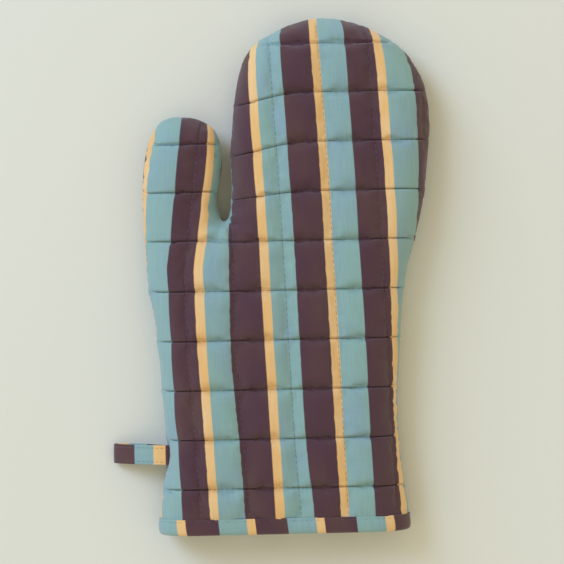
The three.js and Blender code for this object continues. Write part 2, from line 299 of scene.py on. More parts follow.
class Pattern:
    """A flat mesh of one whole panel, with rows and columns of vertices on the quilting lines.

    Two rings of vertices run close beside the seam, where the panel is steep."""

    def __init__(self, cells):
        step = PITCH / cells
        edge = outline_curve(step)
        inward = inward_of(edge)
        ring = edge + inward * EDGE_RINGS[-1]
        cuff_x = np.linspace(ring[-1, 0], ring[0, 0], int(2 * CUFF_HALF_WIDTH / step))[1:-1]
        loop = np.vstack([ring, np.column_stack([cuff_x, np.full(len(cuff_x), CUFF_START)])])
        k, j = np.meshgrid(np.arange(-5 * cells, 5 * cells), np.arange(-cells, 11 * cells))
        k, j = k.ravel(), j.ravel()
        grid = np.column_stack(cloth_to_drawing(FIRST_COLUMN + grid_place(k, cells),
                                                FIRST_ROW + grid_place(j, cells)))
        keep = inside(grid, loop) & (grid[:, 1] > CUFF_START + 0.55 * step)
        keep[keep] = from_edge(grid[keep])[0] > EDGE_RINGS[-1] + 0.55 * step
        k, j, grid = k[keep], j[keep], grid[keep]
        closed = [(i, (i + 1) % len(loop)) for i in range(len(loop))]
        points = [Vector(p) for p in np.vstack([loop, grid])]
        found, _, faces, origin, _, _ = delaunay_2d_cdt(points, closed, [], 1, 1e-4)
        xy = np.array([[p.x, p.y] for p in found])
        source = np.array([o[0] if o else -1 for o in origin])
        where = {s: i for i, s in enumerate(source)}
        self.cells = cells
        self.faces = quads(xy, faces)
        last = [where[i] for i in range(len(edge))]
        outer_rings = [edge + inward * inset for inset in EDGE_RINGS[:-1]]
        rings = [[len(xy) + r * len(edge) + i for i in range(len(edge))] for r in range(len(outer_rings))]
        for a, b in zip(rings, rings[1:] + [last]):
            self.faces += strip(a, b)
        self.xy = np.vstack([xy, *outer_rings])
        self.seam = rings[0]
        self.row = np.full(len(self.xy), OFF_GRID)
        self.column = np.full(len(self.xy), OFF_GRID)
        on_grid = np.flatnonzero(source >= len(loop))
        self.row[on_grid] = j[source[on_grid] - len(loop)]
        self.column[on_grid] = k[source[on_grid] - len(loop)]
        self.distance, self.way = from_edge(self.xy)
        for ids, inset in zip(rings + [last], EDGE_RINGS):
            self.distance[ids] = inset
            self.way[ids] = inward
        self.u, self.v = drawing_to_cloth(self.xy[:, 0], self.xy[:, 1])

    def surface(self, side, depth, gap):
        return panel_points(side, self.xy, self.distance, self.way, depth, gap)

    def faces_of(self, side):
        """The faces turned so that they look outwards on that side."""
        return self.faces if side > 0 else [face[::-1] for face in self.faces]

    def on_rows(self):
        return (self.row % self.cells == 0) & (self.row != OFF_GRID)

    def on_columns(self):
        return (self.column % self.cells == 0) & (self.column != OFF_GRID)

    def quilting_lines(self):
        """Lists of vertices along each unbroken stretch of the quilting."""
        lines = []
        for on, line_of, along in ((self.on_rows(), self.row, self.column),
                                   (self.on_columns(), self.column, self.row)):
            for line in np.unique(line_of[on]):
                ids = np.flatnonzero(on & (line_of == line))
                ids = ids[np.argsort(along[ids])]
                breaks = np.flatnonzero(np.diff(along[ids]) > 1) + 1
                lines += [part for part in np.split(ids, breaks) if len(part) > 3]
        return lines


def strip(outer, inner):
    """Four-sided faces between two rows of vertices that run with the inner one on their right."""
    return [[outer[i], inner[i], inner[i + 1], outer[i + 1]] for i in range(len(outer) - 1)]


def inside(points, loop):
    a, b = loop, np.roll(loop, -1, axis=0)
    result = np.zeros(len(points), bool)
    for (x1, y1), (x2, y2) in zip(a, b):
        crosses = (y1 > points[:, 1]) != (y2 > points[:, 1])
        if y1 != y2:
            at = x1 + (points[:, 1] - y1) * (x2 - x1) / (y2 - y1)
            result ^= crosses & (points[:, 0] < at)
    return result


def quads(xy, faces):
    """Joins pairs of triangles into four-sided faces where they form a good square."""
    mesh = bmesh.new()
    corners = [mesh.verts.new((x, y, 0)) for x, y in xy]
    for face in faces:
        mesh.faces.new([corners[i] for i in face])
    mesh.verts.index_update()
    mesh.normal_update()
    bmesh.ops.join_triangles(mesh, faces=mesh.faces[:], angle_face_threshold=0.1,
                             angle_shape_threshold=0.6)
    result = [[v.index for v in f.verts] for f in mesh.faces]
    turned = []
    for face in result:
        p = xy[face]
        area = np.sum(p[:, 0] * np.roll(p[:, 1], -1) - np.roll(p[:, 0], -1) * p[:, 1])
        turned.append(face if area > 0 else face[::-1])
    mesh.free()
    return turned


# ---- meshes ----

def new_object(name, vertices, faces):
    mesh = bpy.data.meshes.new(name)
    mesh.from_pydata([tuple(p) for p in vertices], [], [list(f) for f in faces])
    mesh.update()
    piece = bpy.data.objects.new(name, mesh)
    bpy.context.collection.objects.link(piece)
    return piece


def shaded(piece, normals=None):
    """Smooth shading, with the given normals at the vertices if there are any."""
    piece.data.shade_smooth()
    if normals is not None:
        piece.data.normals_split_custom_set_from_vertices([tuple(n) for n in normals])
    return piece


def give_cloth(piece, coordinates):
    """Stores where each vertex is on its cloth, in millimetres, for the material."""
    values = np.zeros((len(piece.data.vertices), 3))
    values[:, :2] = coordinates
    piece.data.attributes.new("cloth", "FLOAT_VECTOR", "POINT").data.foreach_set("vector", values.ravel())


def vertex_normals(points, faces):
    """Normals of a mesh's vertices, each face weighing as its area."""
    normals = np.zeros_like(points)
    for count in (3, 4):
        chosen = np.array([f for f in faces if len(f) == count])
        if len(chosen) == 0:
            continue
        p = points[chosen]
        cross = np.cross(p[:, 2] - p[:, 0], p[:, 3] - p[:, 1]) if count == 4 else \
            np.cross(p[:, 1] - p[:, 0], p[:, 2] - p[:, 0])
        for corner in range(count):
            np.add.at(normals, chosen[:, corner], cross)
    return normals / np.maximum(np.linalg.norm(normals, axis=1), 1e-12)[:, None]


def tube_faces(stations, around, first=0):
    """Faces of a closed tube of rings of vertices, one after another from the first vertex on."""
    faces = []
    for ring in range(first, first + (stations - 1) * around, around):
        for k in range(around):
            a, b = ring + k, ring + (k + 1) % around
            faces.append([b, a, a + around, b + around])
    end = first + (stations - 1) * around
    faces.append([first + k for k in range(around)])
    faces.append([end + k for k in reversed(range(around))])
    return faces


def tape_piece(name, points, along, across):
    """A closed tape from rings of points, with the place of each ring along it and point across it."""
    stations, around = points.shape[:2]
    piece = shaded(new_object(name, placed(points.reshape(-1, 3)), tube_faces(stations, around)))
    cloth = np.stack([np.repeat(along[:, None], around, 1), np.repeat(across[None], stations, 0)], -1)
    give_cloth(piece, cloth.reshape(-1, 2))
    return piece


def lengths_along(points):
    """How far along a line of points each one is."""
    return np.concatenate([[0], np.cumsum(np.linalg.norm(np.diff(points, axis=0), axis=1))])


def noise_over(places, size):
    """Smooth noise, mostly between -0.5 and 0.5, that changes over about size."""
    places = np.column_stack([places, np.zeros((len(places), 3 - places.shape[1]))]) / size
    return np.array([noise.noise(Vector(p)) for p in places])


def noise_along(places, size):
    """The same noise for places on a line."""
    return noise_over(np.column_stack([places, np.zeros(len(places))]), size)


def thick_sheet(outer, inner, faces):
    """Two surfaces with the same faces, closed along their free edges."""
    count = len(outer)
    used = set()
    for face in faces:
        used.update(zip(face, face[1:] + face[:1]))
    rim = [(a, b) for a, b in used if (b, a) not in used]
    closed = faces + [[i + count for i in reversed(face)] for face in faces]
    closed += [[b, a, a + count, b + count] for a, b in sorted(rim)]
    return np.vstack([outer, inner]), closed


def sheet_piece(name, outer, inner, normals, faces, cloth):
    """A closed piece from those faces of a sheet, shaded as the whole sheet is."""
    ids = sorted({i for face in faces for i in face})
    new = {old: i for i, old in enumerate(ids)}
    faces = [[new[i] for i in face] for face in faces]
    points, closed = thick_sheet(outer[ids], inner[ids], faces)
    piece = new_object(name, placed(points), closed)
    shaded(piece, np.vstack([normals[ids], -normals[ids]]))
    give_cloth(piece, np.vstack([cloth[ids], cloth[ids]]))
    return piece


def on_thumb(xy):
    """Whether points belong to the pieces of the thumb."""
    return (xy[:, 0] < CROTCH[0]) & ((xy - THUMB_AXIS) @ THUMB_WAY > -SPLIT_BELOW)


def hand_and_thumb(name, outer, inner, normals, faces, cloth):
    """A sheet as two pieces that meet where nothing bends: the hand's and the thumb's."""
    middles = np.array([outer[face, :2].mean(0) for face in faces])
    thumb = on_thumb(middles)
    return [sheet_piece(f"{name}_{part}", outer, inner, normals,
                        [f for f, keep in zip(faces, chosen) if keep], cloth)
            for part, chosen in (("hand", ~thumb), ("thumb", thumb))]


def bends(pieces):
    """Bakes the placement of the hand's piece and the thumb's into their meshes."""
    hand, thumb = pieces
    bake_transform(hand)
    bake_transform(thumb)


# ---- quilted outer cloth ----

CLOTH_FRAMES = 16
CLOTH_SETTINGS = {
    "quality": 5, "mass": 0.15, "tension_stiffness": 12, "compression_stiffness": 12,
    "shear_stiffness": 4, "bending_stiffness": 0.4, "tension_damping": 8,
    "use_pressure": True, "uniform_pressure_force": 150.0, "vertex_group_mass": "held",
    "shrink_min": -0.03,  # the cloth has this share to spare
}
MOST_PUFF = 3.2  # and may move no further than this
WRAP_STEPS = 24  # steps of the sum that measures the cloth down a side
GATHER_STEP = 40  # keeps the gathers of neighbouring stitched lines different
COLUMN_GATHERS = 0.6


def inflate(points, faces, held):
    """Blows the cloth out between the held vertices by a cloth simulation, and returns where it comes to."""
    piece = new_object("inflating", placed(points), faces)
    group = piece.vertex_groups.new(name="held")
    group.add([int(i) for i in np.flatnonzero(held)], 1.0, "REPLACE")
    cloth = piece.modifiers.new("cloth", "CLOTH")
    for setting, value in CLOTH_SETTINGS.items():
        setattr(cloth.settings, setting, value)
    cloth.settings.effector_weights.gravity = 0
    cloth.collision_settings.use_collision = False
    cloth.collision_settings.use_self_collision = False
    cloth.point_cache.frame_start = 1
    cloth.point_cache.frame_end = CLOTH_FRAMES
    for step in range(1, CLOTH_FRAMES + 1):
        bpy.context.scene.frame_set(step)
    evaluated = piece.evaluated_get(bpy.context.evaluated_depsgraph_get())
    places = np.empty(len(points) * 3)
    evaluated.data.vertices.foreach_get("co", places)
    bpy.data.objects.remove(piece)
    bpy.context.scene.frame_set(1)
    return drawn(places.reshape(-1, 3))


def puckers(pattern, side):
    """Small gathers that run out square from the stitches."""
    def beside(place, first, swapped):
        line = np.round((place - first) / PITCH)
        away = np.abs(place - first - line * PITCH)
        shift = GATHER_STEP * line + side
        at = (shift, pattern.v) if swapped else (pattern.u, shift)
        gathers = noise_over(np.column_stack(at), PUCKER_SIZE)
        return gathers * smooth(0, 2.5, away) * (1 - smooth(3, 11, away))

    return PUCKER * (beside(pattern.v, FIRST_ROW, False)
                     + COLUMN_GATHERS * beside(pattern.u, FIRST_COLUMN, True))


def crotch_creases(pattern):
    """Creases that fan out from the crotch, where the turned seam pulls."""
    away = pattern.xy - CROTCH
    radius = np.linalg.norm(away, axis=1)
    angle = np.arctan2(away[:, 0], -away[:, 1])
    return CREASE * np.cos(7 * angle + 0.4) * smooth(1.5, 6, radius) * (1 - smooth(9, 30, radius))


def wrapped_cloth(pattern, side):
    """Where each vertex is on its cloth, which is longer down the steep sides than it looks from above."""
    height = rise_at(side, pattern.xy)
    lean = np.clip(1 - pattern.distance / EDGE_ROUND, 0, 1)
    turns = np.arcsin(lean) * np.linspace(0, 1, WRAP_STEPS)[:, None]
    speed = np.hypot(EDGE_ROUND * np.cos(turns), height * np.sin(turns))
    length = (speed[1:] + speed[:-1]).sum(0) / 2 * np.arcsin(lean) / (WRAP_STEPS - 1)
    spare = length - EDGE_ROUND * lean
    return np.column_stack([pattern.u, pattern.v]) - pattern.way * spare[:, None]


def outer_surface(pattern, side):
    """The outside of one panel with its turned-in seam allowance: points, faces and cloth coordinates."""
    faces = pattern.faces_of(side)
    gap = (FOLD + loop_opening(pattern.xy)) * (pattern.distance < 2)
    base = pattern.surface(side, 0.0, gap)
    normals = vertex_normals(base, faces)
    groove = np.maximum(ROW_GROOVE * pattern.on_rows(), COLUMN_GROOVE * pattern.on_columns())
    groove *= smooth(0, 6, pattern.distance) * smooth(BOUND, BOUND + 6, pattern.xy[:, 1])
    start = base - normals * groove[:, None]
    held = pattern.on_rows() | pattern.on_columns() | (pattern.xy[:, 1] < BOUND)
    held[pattern.seam] = True
    puffed = inflate(start, faces, held)
    puff = np.where(held[:, None], 0, puffed - start)
    size = np.linalg.norm(puff, axis=1)
    puff *= np.minimum(1, MOST_PUFF / np.maximum(size, 1e-9))[:, None]
    free = smooth(0, 3, pattern.distance) * smooth(BOUND, BOUND + 8, pattern.xy[:, 1])
    small = (puckers(pattern, side) + crotch_creases(pattern)) * free
    points = start + puff + normals * small[:, None]
    points[:, 2] = TABLE + SOFT_REST * np.logaddexp(0, (points[:, 2] - TABLE) / SOFT_REST)

    seam = points[pattern.seam]
    opening = loop_opening(pattern.xy[pattern.seam])
    plane = seam[:, 2] - side * (FOLD + opening)
    way = pattern.way[pattern.seam]
    wrapped = wrapped_cloth(pattern, side)
    rings = []
    for inset, height in TURNED_IN:
        rings.append(np.column_stack([seam[:, :2] + way * inset, plane + side * (height + opening)]))
    count = len(points)
    row_ids = [[count + r * len(seam) + i for i in range(len(seam))] for r in range(len(rings))]
    turned = []
    for a, b in zip(row_ids[::-1], row_ids[::-1][1:] + [pattern.seam]):
        turned += strip(a, b)
    if side < 0:
        turned = [face[::-1] for face in turned]
    cloth = np.vstack([wrapped] + [wrapped[pattern.seam]] * len(rings))
    return np.vstack([points, *rings]), faces + turned, cloth


# ---- stitches ----

STATIONS = np.array([0, 0.16, 0.5, 0.84, 1.0])
STATION_SIZE = np.array([0.35, 0.9, 1.0, 0.9, 0.35])
STATION_LIFT = np.array([-0.9, 0.0, 0.4, 0.0, -0.9])
THREAD_SIDES = 6


def stitch_places(points, normals, length, gap):
    """Points along each stitch of a line, and the normal at each stitch's middle."""
    along = lengths_along(points)
    starts = np.arange(gap, along[-1] - length, length + gap)
    at = starts[:, None] + STATIONS[None] * length
    centres = np.stack([np.interp(at, along, points[:, k]) for k in range(3)], -1)
    up = np.stack([np.interp(at[:, 2], along, normals[:, k]) for k in range(3)], -1)
    return centres, unit(up)


def stitch_piece(name, lines, length=2.7, gap=1.1, radius=0.15):
    """One object of small rounded stitches along several lines of (points, normals)."""
    placed_stitches = [stitch_places(p, n, length, gap) for p, n in lines]
    centres = np.vstack([c for c, _ in placed_stitches if len(c)])
    up = np.vstack([u for c, u in placed_stitches if len(c)])
    ahead = unit(centres[:, -1] - centres[:, 0])
    beside = unit(np.cross(ahead, up))
    up = np.cross(beside, ahead)
    turn = np.arange(THREAD_SIDES) * 2 * math.pi / THREAD_SIDES
    ring = np.cos(turn)[:, None] * beside[:, None] + np.sin(turn)[:, None] * up[:, None]
    middle = centres + up[:, None] * (STATION_LIFT * radius)[None, :, None]
    points = middle[:, :, None] + ring[:, None] * (STATION_SIZE * radius)[None, :, None, None]
    faces = []
    for i in range(len(centres)):
        faces += tube_faces(len(STATIONS), THREAD_SIDES, i * len(STATIONS) * THREAD_SIDES)
    return shaded(new_object(name, placed(points.reshape(-1, 3)), faces))


def stitched_parts(name, lines):
    """Stitches along the lines, cut where they pass from the hand to the thumb: a piece for each."""
    parts = ([], [])
    for points, normals in lines:
        thumb = on_thumb(points[:, :2])
        breaks = np.flatnonzero(np.diff(thumb.astype(int))) + 1
        for ids in np.split(np.arange(len(points)), breaks):
            if len(ids) > 3:
                parts[int(thumb[ids[0]])].append((points[ids], normals[ids]))
    return [stitch_piece(f"{name}_{part}", cut) for part, cut in zip(("hand", "thumb"), parts)]


# ---- cuff ----

CUFF_STEP = 2.0
LAP = 8.0  # the binding's ends lap this far, on the back beside the left seam
LAP_RAMP = 2.5  # and the upper end climbs onto the lower one over this much
LAP_RISE = 1.25  # which is this thick when folded


def cuff_stations():
    """Points along the binding, which runs from the left seam over the back to the front, and laps its start.

    Each is side, x, distance from the seam, way inwards, place along the strip, and rise of the strip."""
    half = CUFF_HALF_WIDTH
    corner = EDGE_ROUND * (1 - np.cos(np.linspace(0, math.pi / 2, 14)[:-1]))
    level = np.linspace(EDGE_ROUND, half, int((half - EDGE_ROUND) / CUFF_STEP))
    distances = np.concatenate([corner, level])
    back = [(-1, d - half, d, 1.0, 3 * half - d, 0.0) for d in distances[distances > LAP_RAMP]]
    back += [(-1, half - d, d, -1.0, half + d, 0.0) for d in distances[-2:0:-1]]
    front = [(1, half - d, d, -1.0, half - d, 0.0) for d in distances]
    front += [(1, d - half, d, 1.0, d - half, 0.0) for d in distances[-2::-1]]
    lap = np.linspace(0, LAP, 12)[1:]
    return back + front + [(-1, d - half, d, 1.0, -half - d, LAP_RISE * smooth(0, LAP_RAMP, d)) for d in lap]


def cuff_line(y, outside):
    """The line along the binding at that y and that distance outside the outer cloth."""
    away = unit(np.array([min(0.0, 2 * (y - CUFF_START)), outside - MOUTH_MIDDLE]))
    points = []
    for side, x, distance, way, _, rise in cuff_stations():
        at, out = y + rise * away[0], outside + rise * away[1]
        points.append(panel_points(side, np.array([[x, at]]), np.array([distance]),
                                   np.array([[way, 0.0]]), -out)[0])
    return np.array(points)


# Middle of the folded strip, as distance along the mitt and distance outside the outer cloth: its raw
# edges are turned under, and it wraps the layers of the mitt from the outside over the mouth to the inside
MOUTH_MIDDLE = -2.1
BINDING_OUTSIDE = [
    (2.6, 0.30), (5.5, 0.30), (8.4, 0.27), (9.7, 0.27), (10.2, 0.42), (10.2, 0.78), (9.6, 0.98), (8.7, 0.74),
    (7.6, 1.0), (5.5, 1.2), (3.0, 1.2), (1.55, 0.92), (0.62, 0.15), (0.28, -0.9),
]
BINDING_PATH = BINDING_OUTSIDE + [(0.2, MOUTH_MIDDLE)] + [
    (y, 2 * MOUTH_MIDDLE - outside) for y, outside in reversed(BINDING_OUTSIDE)]
BINDING_CLOTH = 0.44
BINDING_STITCH = (8.7, 0.96)

# The binding puffs out and puckers beside its stitches
BINDING_PUFF = 0.2
BINDING_PUCKER = 0.45
BINDING_PUCKER_SIZE = 3.4
BINDING_PUFF_AT = 7.0
BINDING_PUFF_REACH = 2.6
BINDING_PUFF_SIDEWAYS = 0.1


def binding():
    path = np.array(BINDING_PATH)
    slope = np.gradient(path, axis=0)
    normal = unit(np.column_stack([-slope[:, 1], slope[:, 0]]))
    across = lengths_along(path)
    across -= across[-1] / 2
    section = np.vstack([path - normal * BINDING_CLOTH / 2, (path + normal * BINDING_CLOTH / 2)[::-1]])
    across = np.concatenate([across, across[::-1]])
    points = np.stack([cuff_line(y, outside) for y, outside in section], 1)
    along = np.array([station[4] for station in cuff_stations()])
    puckered = BINDING_PUFF + BINDING_PUCKER * noise_along(along, BINDING_PUCKER_SIZE)
    away = points - (0, 0, SEAM_HEIGHT)
    away[:, :, 1] = 0
    away[:, :, 0] *= BINDING_PUFF_SIDEWAYS
    outward = np.exp(-((section[:, 0] - BINDING_PUFF_AT) / BINDING_PUFF_REACH) ** 2)
    points += unit(away) * (puckered[:, None] * outward[None])[:, :, None]
    points[:, :, 2] = np.maximum(points[:, :, 2], TABLE)
    return tape_piece("binding_tape", points, along, across)


def binding_stitches():
    """One line of stitches outside and one inside the mitt."""
    y, outside = BINDING_STITCH
    lines = []
    for place, way in ((outside, 1), (2 * MOUTH_MIDDLE - outside, -1)):
        line = cuff_line(y, place)
        lines.append((line, cuff_line(y, place + way) - line))
    return stitch_piece("binding_stitches", lines)


# ---- hanging loop ----

# Middle of the tape from the seam out and back, as x and z; the loop lies on the table at its far end
LOOP_LINE = [
    (-66.0, 19.7), (-73.8, 19.8), (-78.0, 19.2), (-84.0, 17.6), (-90.0, 15.4), (-96.0, 12.7), (-102.0, 9.6),
    (-106.3, 6.9), (-108.5, 4.6), (-108.85, 2.6), (-107.5, 1.25), (-104.5, 0.8), (-99.0, 1.3), (-93.0, 3.5),
    (-87.0, 7.4), (-82.0, 11.9), (-78.0, 15.9), (-73.8, 18.1), (-66.0, 18.3),
]
LOOP_STEP = 1.2
TAPE = 1.3  # its thickness when folded
TAPE_STITCH = 4.4  # its stitches are this far from its middle
TAPE_SIDES = 28  # points around its rounded section
TAPE_SQUARE = (0.35, 0.6)  # powers that square the section off, across and through it
TAPE_DENT = 0.22  # share by which the stitches press it in
TAPE_DENT_REACH = 0.8
TAPE_RIPPLE = 0.12
TAPE_RIPPLE_SIZE = 4.0
TAPE_STITCH_DEPTH = 0.8  # its stitches lie at this share of half its thickness


def loop_frames():
    """Middle line of the tape with its outward normals, and the way across it."""
    line = spline(LOOP_LINE, LOOP_STEP)
    slope = unit(np.gradient(line, axis=0))
    c, s = math.cos(LOOP_TURN), math.sin(LOOP_TURN)
    root = LOOP_LINE[1][0]
    middle = np.column_stack([root + (line[:, 0] - root) * c, LOOP_Y + (line[:, 0] - root) * s, line[:, 1]])
    normal = np.column_stack([slope[:, 1] * c, slope[:, 1] * s, -slope[:, 0]])
    return middle, normal, np.array([-s, c, 0.0])


def loop_tape():
    middle, normal, across = loop_frames()
    half = LOOP_WIDTH / 2
    turns = np.linspace(0, 2 * math.pi, TAPE_SIDES + 1)[:-1]
    wide = np.sign(np.cos(turns)) * np.abs(np.cos(turns)) ** TAPE_SQUARE[0] * half
    thick = np.sign(np.sin(turns)) * np.abs(np.sin(turns)) ** TAPE_SQUARE[1] * TAPE / 2
    thick *= 1 - TAPE_DENT * np.exp(-((np.abs(wide) - TAPE_STITCH) / TAPE_DENT_REACH) ** 2)
    along = lengths_along(middle)
    ripple = TAPE_RIPPLE * noise_along(along, TAPE_RIPPLE_SIZE)
    points = middle[:, None] + across * wide[None, :, None] \
        + normal[:, None] * (thick[None] + ripple[:, None])[:, :, None]
    return tape_piece("loop_tape", points, along, wide)


def loop_stitches():
    middle, normal, across = loop_frames()
    lines = []
    for way in (-1, 1):
        for face in (-1, 1):
            lift = face * 0.5 * TAPE * TAPE_STITCH_DEPTH
            lines.append((middle + across * way * TAPE_STITCH + normal * lift, normal * face))
    return stitch_piece("loop_stitches", lines, length=2.2, gap=1.0, radius=0.14)


def blend_loop(piece):
    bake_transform(piece)


# ---- materials ----

def srgb(red, green, blue):
    """A colour given as 0 to 255 in sRGB, for a shader."""
    def linear(c):
        c /= 255
        return c / 12.92 if c <= 0.04045 else ((c + 0.055) / 1.055) ** 2.4
    return linear(red), linear(green), linear(blue), 1.0


BAND_EDGE = 0.006  # half the width of a stripe's woven edge, as a share of the period
YARN = 0.6  # spacing of the yarns
LINING_YARN = 0.5
BLUE = srgb(127, 160, 157)
BLUE_TINT = srgb(124, 153, 166)
MAROON = srgb(71, 40, 53)
MAROON_TINT = srgb(80, 51, 50)
YELLOW = srgb(219, 174, 112)
YELLOW_TINT = srgb(222, 187, 138)
LINING_COLOUR = srgb(216, 208, 190)
WADDING_COLOUR = srgb(233, 229, 218)
THREAD_COLOUR = srgb(92, 87, 90)
SEAM_THREAD_COLOUR = srgb(120, 116, 116)
TABLE_COLOUR = srgb(214, 213, 203)


class Finish:
    """A material whose nodes are added one by one."""

    def __init__(self, name, roughness, sheen=0.0):
        self.material = bpy.data.materials.new(name)
        self.material.use_nodes = True
        self.tree = self.material.node_tree
        self.shader = self.tree.nodes["Principled BSDF"]
        self.shader.inputs["Roughness"].default_value = roughness
        self.shader.inputs["Specular IOR Level"].default_value = 0.25
        self.shader.inputs["Sheen Weight"].default_value = sheen
        self.shader.inputs["Sheen Roughness"].default_value = 0.6

    def add(self, kind, values=(), **settings):
        """A node with its inputs set or linked, by name or number."""
        node = self.tree.nodes.new("ShaderNode" + kind)
        for key, value in settings.items():
            setattr(node, key, value)
        for key, value in dict(values).items():
            if isinstance(value, bpy.types.NodeSocket):
                self.tree.links.new(value, node.inputs[key])
            else:
                node.inputs[key].default_value = value
        return node

    def math(self, operation, *values):
        return self.add("Math", dict(enumerate(values)), operation=operation).outputs[0]

    def cloth(self):
        """The cloth's coordinates in millimetres: both, u and v."""
        vector = self.add("Attribute", attribute_name="cloth").outputs["Vector"]
        parts = self.add("SeparateXYZ", {0: vector})
        return vector, parts.outputs[0], parts.outputs[1]

    def noise(self, vector, stretch, detail=2.0):
        """Noise over a vector that is first multiplied by stretch, from 0 to 1."""
        scaled = self.add("VectorMath", {0: vector, 1: stretch}, operation="MULTIPLY").outputs[0]
        return self.add("TexNoise", {"Vector": scaled, "Scale": 1.0, "Detail": detail}).outputs["Fac"]

    def bands(self, phase, stops):
        """Colours along 0 to 1, from (where it starts, colour), with narrow woven edges."""
        ramp = self.add("ValToRGB", {"Fac": phase})
        elements = ramp.color_ramp.elements
        elements[0].color = stops[0][1]
        elements[0].position = 0
        elements[1].position = 1
        elements[1].color = stops[0][1]
        for (start, colour), (_, before) in zip(stops[1:], stops[:-1]):
            elements.new(start - BAND_EDGE).color = before
            elements.new(start + BAND_EDGE).color = colour
        elements.new(1 - 2 * BAND_EDGE).color = stops[-1][1]
        return ramp.outputs["Color"]

    def varied(self, colour, value):
        """A colour made lighter and darker by the value."""
        return self.add("HueSaturation", {"Color": colour, "Value": value}).outputs[0]

    def finish(self, colour, height, distance, strength=0.6):
        """The material with that colour, and bumps of that height, of up to distance metres."""
        self.tree.links.new(colour, self.shader.inputs["Base Color"])
        bump = self.add("Bump", {"Height": height, "Strength": strength, "Distance": distance})
        self.tree.links.new(bump.outputs[0], self.shader.inputs["Normal"])
        return self.material


def tones(finish, *parts):
    """About 1, changed by up to half of each amount: parts are (value from 0 to 1, amount)."""
    total = 1.0
    for value, amount in parts:
        lift = finish.math("MULTIPLY_ADD", value, amount, -amount / 2)
        total = finish.math("ADD", total, lift)
    return total


def weave(finish, u, v, yarn=YARN):
    """Height of a plain weave: yarns over and under each other."""
    def wave(place):
        return finish.math("SINE", finish.math("MULTIPLY", place, math.pi / yarn))
    return finish.math("MULTIPLY", wave(u), wave(v))


def striped(name, period, start, stops, lean=0.0):
    """Yarn-dyed striped cotton: stops are (offset within the period, colour, tint)."""
    finish = Finish(name, roughness=0.88, sheen=0.25)
    cloth, u, v = finish.cloth()
    wander = finish.noise(cloth, (0.02, 0.012, 1), 1.0)
    ragged = finish.noise(cloth, (0.5, 1.6, 1), 1.0)
    shift = finish.math("ADD", finish.math("MULTIPLY_ADD", wander, 1.6, -0.8 - start),
                        finish.math("MULTIPLY_ADD", ragged, 0.3, -0.15))
    across = finish.math("ADD", finish.math("MULTIPLY_ADD", v, lean, u), shift)
    phase = finish.math("FRACT", finish.math("DIVIDE", across, period))
    main = finish.bands(phase, [(offset / period, colour) for offset, colour, _ in stops])
    tint = finish.bands(phase, [(offset / period, colour) for offset, _, colour in stops])
    patches = finish.noise(cloth, (0.045, 0.022, 1), 3.0)
    patches = finish.add("MapRange", {"Value": patches, "From Min": 0.42, "From Max": 0.72}).outputs[0]
    both = finish.add("Mix", {"Factor": patches, "A": main, "B": tint}, data_type="RGBA")
    mixed = next(o for o in both.outputs if o.type == "RGBA" and o.enabled)
    warp = finish.noise(cloth, (2.4, 0.05, 1))
    weft = finish.noise(cloth, (0.05, 2.4, 1))
    fibre = finish.noise(cloth, (3.1, 3.1, 1))
    colour = finish.varied(mixed, tones(finish, (warp, 0.34), (weft, 0.14), (fibre, 0.16)))
    height = finish.math("ADD", weave(finish, u, v), finish.math("MULTIPLY", fibre, 1.2))
    return finish.finish(colour, height, distance=0.00009)


def plain_cotton(name, colour):
    finish = Finish(name, roughness=0.9, sheen=0.15)
    cloth, u, v = finish.cloth()
    warp = finish.noise(cloth, (2.2, 0.06, 1))
    patches = finish.noise(cloth, (0.03, 0.03, 1), 3.0)
    value = tones(finish, (warp, 0.2), (patches, 0.16))
    height = weave(finish, u, v, LINING_YARN)
    return finish.finish(finish.varied(colour, value), height, distance=0.00007)


def fibres(name, colour):
    """Loose cotton wadding."""
    finish = Finish(name, roughness=1.0, sheen=0.3)
    place = finish.add("TexCoord").outputs["Object"]
    fluff = finish.noise(place, (900, 900, 900), 6.0)
    return finish.finish(finish.varied(colour, tones(finish, (fluff, 0.3))), fluff,
                         distance=0.0006, strength=0.9)


def thread(name, colour):
    finish = Finish(name, roughness=0.7, sheen=0.2)
    place = finish.add("TexCoord").outputs["Object"]
    ply = finish.noise(place, (2600, 2600, 2600))
    tone = finish.noise(place, (60, 60, 60), 1.0)
    value = tones(finish, (ply, 0.3), (tone, 0.2))
    return finish.finish(finish.varied(colour, value), ply, distance=0.00008)


def table_top():
    finish = Finish("table_top", roughness=0.85)
    place = finish.add("TexCoord").outputs["Object"]
    broad = finish.noise(place, (2.5, 2.5, 2.5), 3.0)
    fine = finish.noise(place, (240, 240, 240), 3.0)
    value = tones(finish, (broad, 0.03), (fine, 0.02))
    return finish.finish(finish.varied(TABLE_COLOUR, value), fine, distance=0.00005)


# ---- the mitt ----

# Stripes of each cloth in millimetres: period, where the first one starts, and (offset, colour, tint)
OUTER_STRIPES = (41.0, 0.4, [(0, BLUE, BLUE_TINT), (16.3, MAROON, MAROON_TINT),
                             (35.2, YELLOW, YELLOW_TINT)])
BINDING_STRIPES = (43.8, -66.6, [(0, YELLOW, YELLOW_TINT), (5.2, MAROON, MAROON_TINT),
                                 (25.6, BLUE, BLUE_TINT)])
BINDING_LEAN = -0.1
LOOP_STRIPES = (41.5, -11.0, [(0, MAROON, MAROON_TINT), (20, YELLOW, YELLOW_TINT),
                              (27.9, BLUE, BLUE_TINT)])

WADDING_LEAST = 1.2  # the wadding is never thinner than this
LINING_GAP = 0.05  # half the gap that the two linings keep at the seam
LINING_CREASE = 3.2
LINING_CREASE_SIZE = 13.0
LINING_CREASE_STRETCH = (1.0, 0.35)
SIDE_APART = 300  # keeps the creases of the front and the back different
SEAM_STITCH_INSET = 1.6
SEAM_STITCH_LIFT = 0.1  # the seam's stitches stand this far off the allowance


